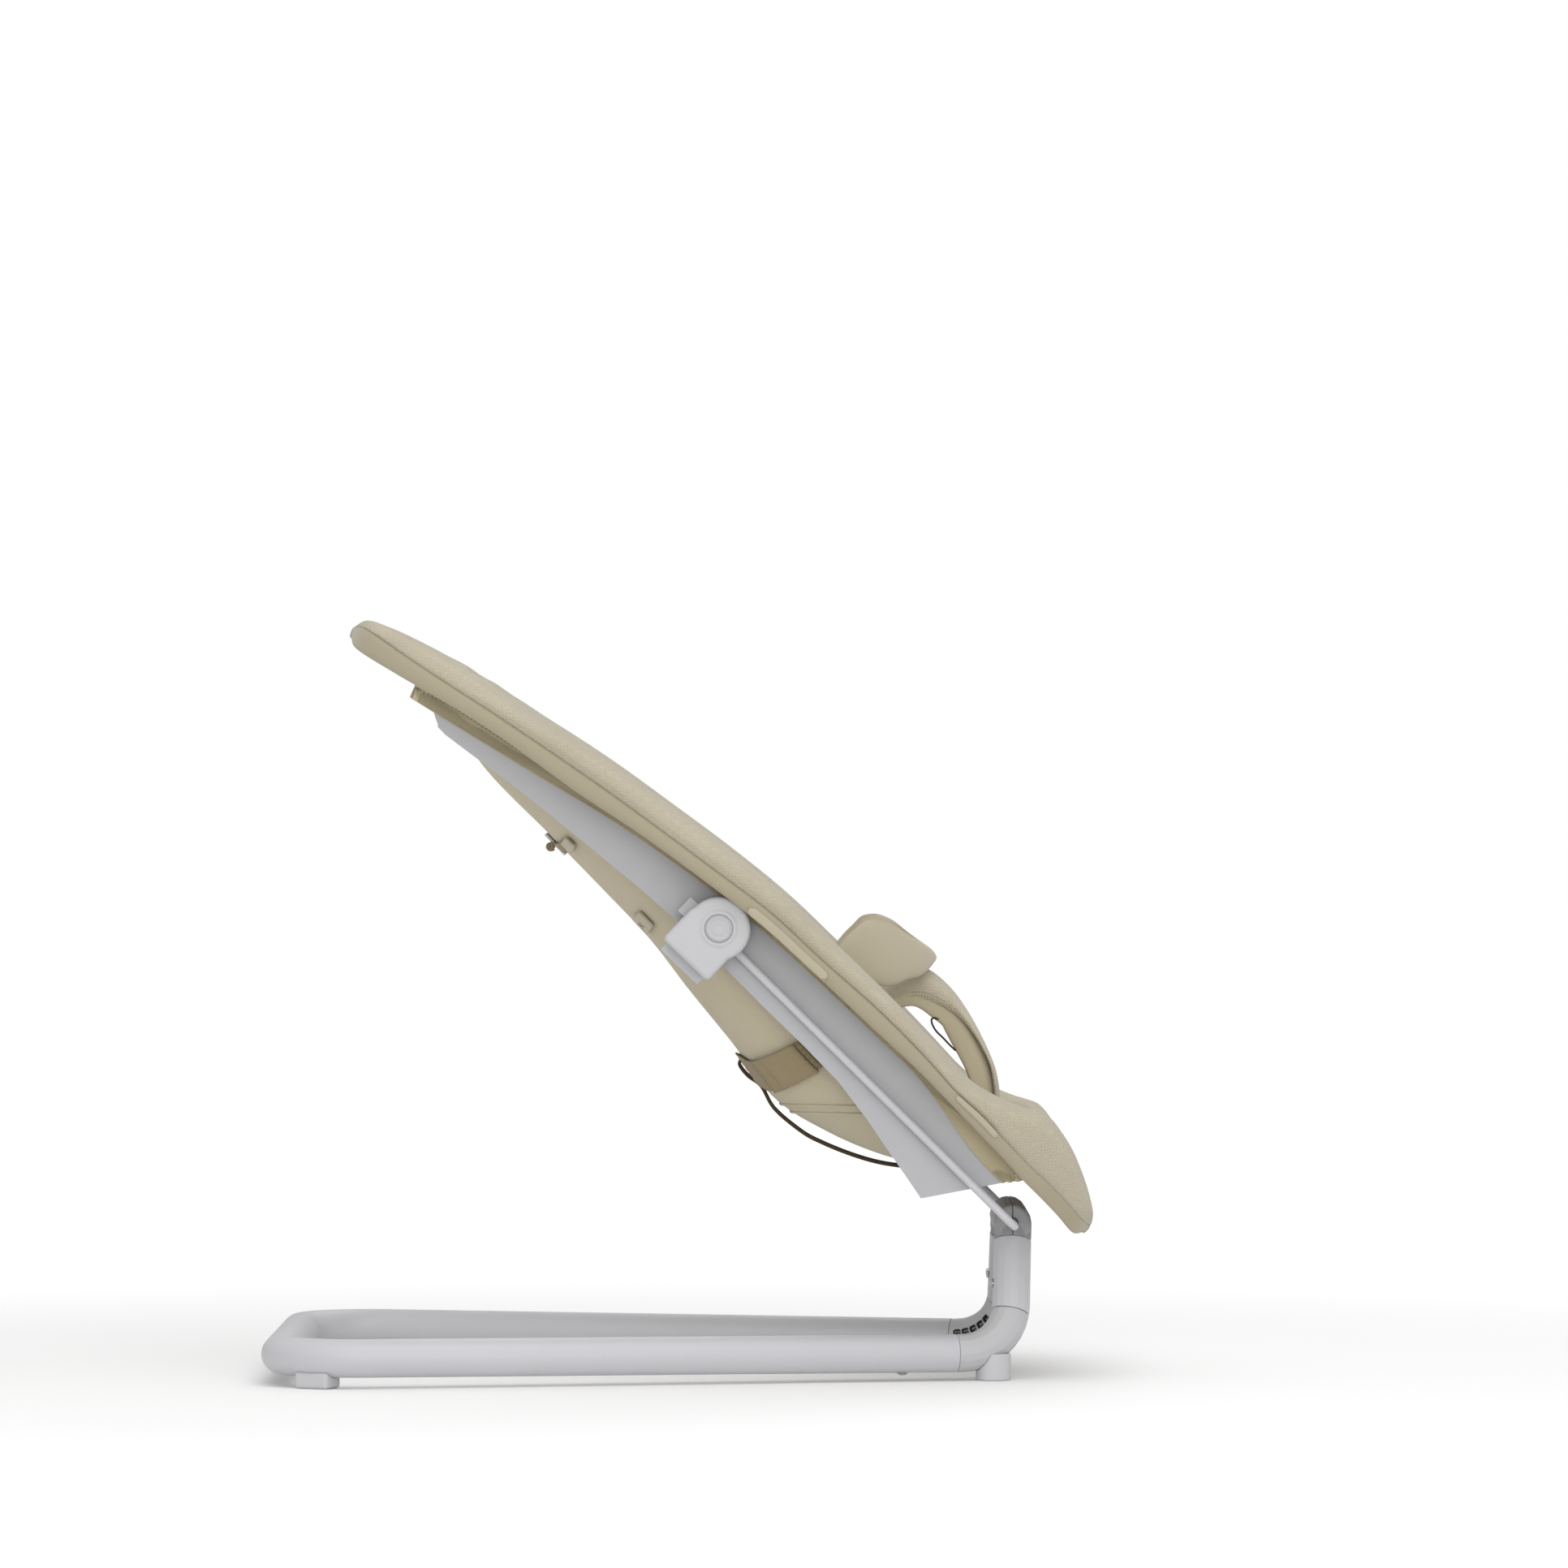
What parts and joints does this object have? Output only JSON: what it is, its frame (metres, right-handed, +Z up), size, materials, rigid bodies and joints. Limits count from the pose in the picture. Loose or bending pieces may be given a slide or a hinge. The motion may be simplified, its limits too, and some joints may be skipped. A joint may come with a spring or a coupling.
{
  "type": "bouncer seat",
  "caption": "Baby bouncer seat: a padded fabric seat reclines in hubs on a bent spring wire, which nods in a bridge on a tubular floor base.",
  "frame": {"origin": "under the middle of the seat's bounding box, on the floor", "axes": "+X to the foot end, +Y to the seated child's left, +Z up"},
  "size_m": [0.742, 0.4812, 0.6775],
  "materials": {
    "painted_tube": "satin powder coat",
    "grey_plastic": "fine texture",
    "dark_plastic": "plain",
    "spring_steel": "satin",
    "steel": "satin",
    "panel": "satin",
    "foot_rubber": "plain",
    "sand_fabric": "fine knit",
    "mesh_fabric": "open mesh",
    "webbing": "woven tape"
  },
  "bodies": {
    "base": {"base_tube": "painted_tube", "elbow_left": "grey_plastic", "elbow_right": "grey_plastic", "post_left": "painted_tube", "post_right": "painted_tube", "bridge_front_shell": "grey_plastic", "bridge_rear_shell": "grey_plastic", "bridge_screw_left": "steel", "bridge_screw_right": "steel", "wire_bush_left": "dark_plastic", "wire_bush_right": "dark_plastic", "foot_rear_left": "foot_rubber", "foot_rear_right": "foot_rubber", "foot_front_left": "foot_rubber", "foot_front_right": "foot_rubber", "rail_rivet_left": "steel", "rail_rivet_right": "steel", "post_rivet_left": "steel", "post_rivet_right": "steel"},
    "carrier": {"spring_wire": "spring_steel", "hub_outer_left": "grey_plastic", "hub_outer_right": "grey_plastic", "hub_inner_left": "grey_plastic", "hub_inner_right": "grey_plastic", "hub_cap_left": "grey_plastic", "hub_cap_right": "grey_plastic", "hub_screw_upper_left": "steel", "hub_screw_upper_right": "steel", "hub_screw_lower_left": "steel", "hub_screw_lower_right": "steel", "button_spring_left": "spring_steel", "button_spring_right": "spring_steel"},
    "button_left": {"release_button_left": "grey_plastic"},
    "button_right": {"release_button_right": "grey_plastic"},
    "seat": {"back_tab": "sand_fabric", "cross_strap": "webbing", "crotch_pad": "sand_fabric", "elastic_loop": "webbing", "foot_hoop": "painted_tube", "harness_wings": "sand_fabric", "head_hoop": "painted_tube", "hoop_screw_foot_left": "steel", "hoop_screw_foot_right": "steel", "hoop_screw_head_left": "steel", "hoop_screw_head_right": "steel", "index_disc_left": "steel", "index_disc_right": "steel", "long_strap": "webbing", "mesh_band_left": "mesh_fabric", "mesh_band_right": "mesh_fabric", "pivot_bolt_left": "steel", "pivot_bolt_right": "steel", "seat_cover": "sand_fabric", "seat_sling": "mesh_fabric", "side_panel_left": "panel", "side_panel_right": "panel", "webbing_roll": "webbing", "webbing_slider": "grey_plastic"}
  },
  "joints": [
    {"name": "bounce_hinge", "type": "hinge", "parent": "base", "child": "carrier", "pos_m": [0.298, 0, 0.139], "axis": [0, -1, 0], "range_deg": [-4, 9], "stiffness_Nm_per_rad": 130, "springref_deg": -3.58},
    {"name": "recline_hinge", "type": "hinge", "parent": "carrier", "child": "seat", "pos_m": [0.0353, 0, 0.4044], "axis": [0, -1, 0], "range_deg": [0, 20]},
    {"name": "release_slide_left", "type": "slide", "parent": "carrier", "child": "button_left", "axis": [0.7218, 0, -0.6921], "range_m": [0, 0.0045], "stiffness_N_per_m": 400, "springref_m": -0.003, "deforming": ["button_spring_left"]},
    {"name": "release_slide_right", "type": "slide", "parent": "carrier", "child": "button_right", "axis": [0.7218, 0, -0.6921], "range_m": [0, 0.0045], "stiffness_N_per_m": 400, "springref_m": -0.003, "deforming": ["button_spring_right"]}
  ]
}
